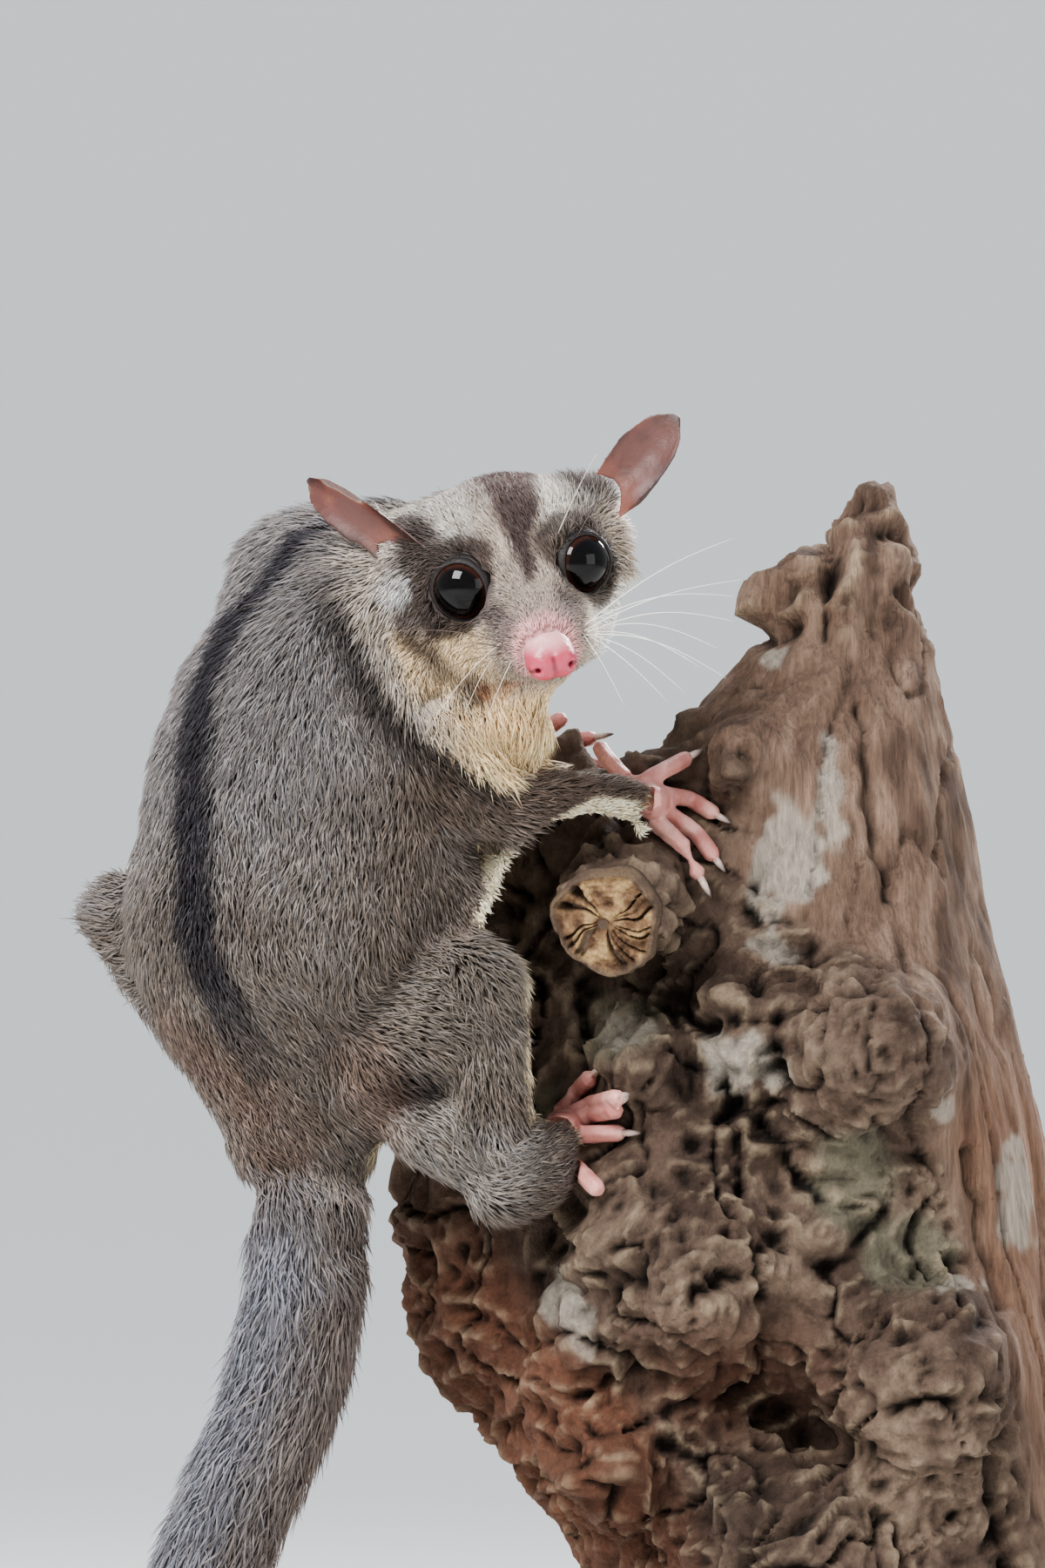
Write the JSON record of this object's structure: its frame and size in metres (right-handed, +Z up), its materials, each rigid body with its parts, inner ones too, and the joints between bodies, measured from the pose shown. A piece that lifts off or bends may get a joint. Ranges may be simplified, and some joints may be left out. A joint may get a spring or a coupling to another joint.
{
  "type": "sugar glider on a perch",
  "caption": "Still, life-size sugar glider clinging to a cut length of gnarled trunk and looking back over its shoulder, tail hanging, on a plain display stand.",
  "frame": {"origin": "centre of the underside of the stand's base, on the floor", "axes": "+Z up, +X to the right and +Y away as seen from the front, where the animal's face, its right side and the sawn stub of the perch are towards the viewer"},
  "size_m": [0.186, 0.116, 0.2774],
  "materials": {
    "coat": "dense short fur, grey brown with a dark stripe",
    "pale_fur": "cream fur along the edge of the gliding skin",
    "bare_skin": "thin pink skin, slightly moist on the nose",
    "eye": "wet black gloss",
    "wood": "weathered bare wood and bark, matt",
    "steel": "satin",
    "plinth": "dark satin lacquer"
  },
  "bodies": {
    "root": {"head": "coat", "torso_front": "coat", "torso_rear": "coat", "neck": "coat", "upper_arm_right": "coat", "forearm_right": "coat", "upper_arm_left": "coat", "forearm_left": "coat", "thigh_right": "coat", "shin_right": "coat", "heel_right": "coat", "thigh_left": "coat", "shin_left": "coat", "heel_left": "coat", "tail_1": "coat", "tail_2": "coat", "tail_3": "coat", "tail_4": "coat", "patagium_right": "pale_fur", "patagium_left": "pale_fur", "nose": "bare_skin", "ear_right": "bare_skin", "ear_left": "bare_skin", "hand_right": "bare_skin", "hand_left": "bare_skin", "foot_right": "bare_skin", "foot_left": "bare_skin", "eye_right": "eye", "eye_left": "eye", "perch_trunk": "wood", "stand_rod_left": "steel", "stand_rod_right": "steel", "stand_base": "plinth"}
  },
  "joints": []
}
